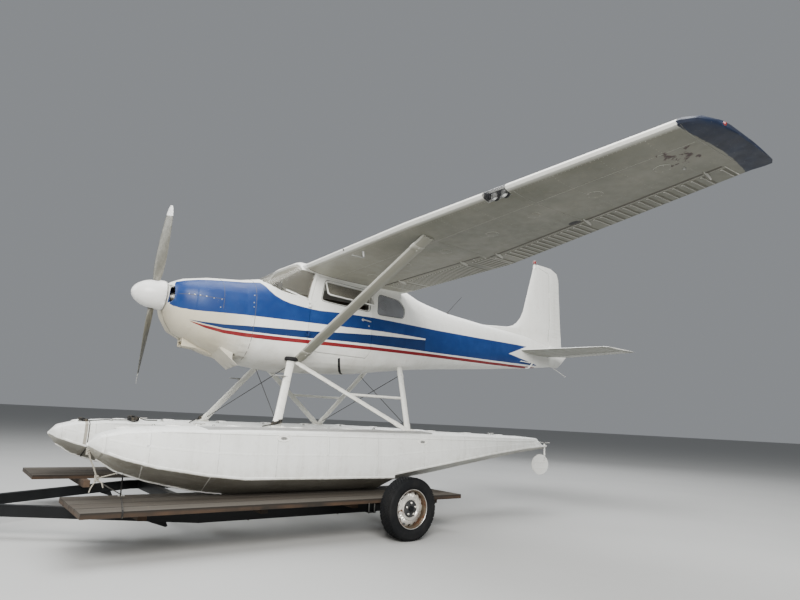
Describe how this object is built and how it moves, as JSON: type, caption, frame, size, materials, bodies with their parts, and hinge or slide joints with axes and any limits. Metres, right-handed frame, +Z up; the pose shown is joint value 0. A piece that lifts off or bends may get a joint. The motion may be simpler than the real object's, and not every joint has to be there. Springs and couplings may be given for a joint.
{
  "type": "light floatplane on a launching trailer",
  "caption": "High-wing light floatplane with twin floats, strutted wings and a hollow cabin, standing on its own low flat-decked two-wheeled launching trailer.",
  "frame": {"origin": "on the ground under the middle of the whole length and span", "axes": "+X towards the nose, +Y towards the port wing tip, +Z up"},
  "size_m": [9.6, 10.916, 4.35],
  "materials": {
    "white_paint": "gloss",
    "blue_paint": "gloss",
    "propeller_grey": "satin",
    "engine_metal": "matte",
    "dark_plastic": "matte",
    "clear_glazing": "gloss",
    "seat_cloth": "matte",
    "bright_steel": "satin",
    "weathered_timber": "matte",
    "black_steel": "satin",
    "wheel_steel": "satin",
    "tyre_rubber": "matte"
  },
  "bodies": {
    "airframe_and_trailer": {"engine_cowling": "blue_paint", "left_cowl_flap": "white_paint", "engine": "engine_metal", "forward_fuselage": "white_paint", "instrument_panel": "dark_plastic", "windshield": "clear_glazing", "cabin_roof": "white_paint", "cabin_belly": "white_paint", "rear_cabin": "white_paint", "left_rear_window": "clear_glazing", "right_rear_window": "clear_glazing", "left_front_seat": "seat_cloth", "right_front_seat": "seat_cloth", "rear_seat": "seat_cloth", "left_wing": "white_paint", "right_wing": "white_paint", "left_wing_strut": "white_paint", "right_wing_strut": "white_paint", "stabiliser": "white_paint", "fin": "white_paint", "tail_cone": "white_paint", "left_float": "white_paint", "right_float": "white_paint", "left_front_float_strut": "white_paint", "right_front_float_strut": "white_paint", "left_rear_float_strut": "white_paint", "right_rear_float_strut": "white_paint", "left_diagonal_float_strut": "white_paint", "right_diagonal_float_strut": "white_paint", "front_spreader_bar": "white_paint", "rear_spreader_bar": "white_paint", "front_bracing_wires": "bright_steel", "rear_bracing_wires": "bright_steel", "left_board_deck": "weathered_timber", "right_board_deck": "weathered_timber", "left_trailer_rail": "black_steel", "right_trailer_rail": "black_steel", "front_cross_member": "black_steel", "rear_cross_member": "black_steel", "axle": "black_steel", "coupling": "black_steel"},
    "propeller": {"propeller": "propeller_grey"},
    "left_door": {"left_door": "white_paint", "left_door_window": "clear_glazing"},
    "right_door": {"right_door": "white_paint", "right_door_window": "clear_glazing"},
    "left_aileron": {"left_aileron": "white_paint"},
    "right_aileron": {"right_aileron": "white_paint"},
    "left_flap": {"left_flap": "white_paint"},
    "right_flap": {"right_flap": "white_paint"},
    "elevator": {"elevator": "white_paint"},
    "rudder": {"rudder": "white_paint"},
    "left_water_rudder": {"left_water_rudder": "white_paint"},
    "right_water_rudder": {"right_water_rudder": "white_paint"},
    "left_road_wheel": {"left_tyre": "tyre_rubber", "left_wheel": "wheel_steel"},
    "right_road_wheel": {"right_tyre": "tyre_rubber", "right_wheel": "wheel_steel"},
    "jockey_fork": {"jockey_fork": "wheel_steel"},
    "jockey_wheel": {"jockey_wheel": "tyre_rubber"}
  },
  "joints": [
    {"name": "propeller_spin", "type": "hinge", "parent": "airframe_and_trailer", "child": "propeller", "pos_m": [3.018, 0, 2.505], "axis": [1, 0, 0], "continuous": true},
    {"name": "left_door_hinge", "type": "hinge", "parent": "airframe_and_trailer", "child": "left_door", "pos_m": [1.272, 0.566, 2.4], "axis": [0, 0, -1], "range_deg": [0, 70]},
    {"name": "right_door_hinge", "type": "hinge", "parent": "airframe_and_trailer", "child": "right_door", "pos_m": [1.272, -0.566, 2.4], "axis": [0, 0, 1], "range_deg": [0, 70]},
    {"name": "left_aileron_hinge", "type": "hinge", "parent": "airframe_and_trailer", "child": "left_aileron", "pos_m": [0.12002, 2.552, 3.11246], "axis": [0.0952, 0.994, 0.0541], "range_deg": [-14, 20]},
    {"name": "right_aileron_hinge", "type": "hinge", "parent": "airframe_and_trailer", "child": "right_aileron", "pos_m": [0.12002, -2.552, 3.11246], "axis": [-0.0952, 0.994, -0.0541], "range_deg": [-14, 20]},
    {"name": "left_flap_hinge", "type": "hinge", "parent": "airframe_and_trailer", "child": "left_flap", "pos_m": [0.21725, 0.74, 3.06103], "axis": [0.0005, -0.9995, -0.0329], "range_deg": [0, 40]},
    {"name": "right_flap_hinge", "type": "hinge", "parent": "airframe_and_trailer", "child": "right_flap", "pos_m": [0.21725, -0.74, 3.06103], "axis": [-0.0005, -0.9995, 0.0329], "range_deg": [0, 40]},
    {"name": "elevator_hinge", "type": "hinge", "parent": "airframe_and_trailer", "child": "elevator", "pos_m": [-4.1, 0, 2.555], "axis": [0, 1, 0], "range_deg": [-23, 26]},
    {"name": "rudder_hinge", "type": "hinge", "parent": "airframe_and_trailer", "child": "rudder", "pos_m": [-4.255, 0, 3], "axis": [0, 0, 1], "range_deg": [-24, 24]},
    {"name": "left_water_rudder_steering", "type": "hinge", "parent": "airframe_and_trailer", "child": "left_water_rudder", "pos_m": [-2.648, 1.14, 0.9], "axis": [0, 0, 1], "range_deg": [-25, 25]},
    {"name": "right_water_rudder_steering", "type": "hinge", "parent": "airframe_and_trailer", "child": "right_water_rudder", "pos_m": [-2.648, -1.14, 0.9], "axis": [0, 0, 1], "range_deg": [-25, 25]},
    {"name": "left_road_wheel_spin", "type": "hinge", "parent": "airframe_and_trailer", "child": "left_road_wheel", "pos_m": [0.72, 2, 0.3175], "axis": [0, 1, 0], "continuous": true},
    {"name": "right_road_wheel_spin", "type": "hinge", "parent": "airframe_and_trailer", "child": "right_road_wheel", "pos_m": [0.72, -2, 0.3175], "axis": [0, 1, 0], "continuous": true},
    {"name": "jockey_swivel", "type": "hinge", "parent": "airframe_and_trailer", "child": "jockey_fork", "pos_m": [4.52, 0.244, 0.2], "axis": [0, 0, 1], "continuous": true},
    {"name": "jockey_wheel_spin", "type": "hinge", "parent": "jockey_fork", "child": "jockey_wheel", "pos_m": [4.488, 0.244, 0.08], "axis": [0, 1, 0], "continuous": true}
  ]
}
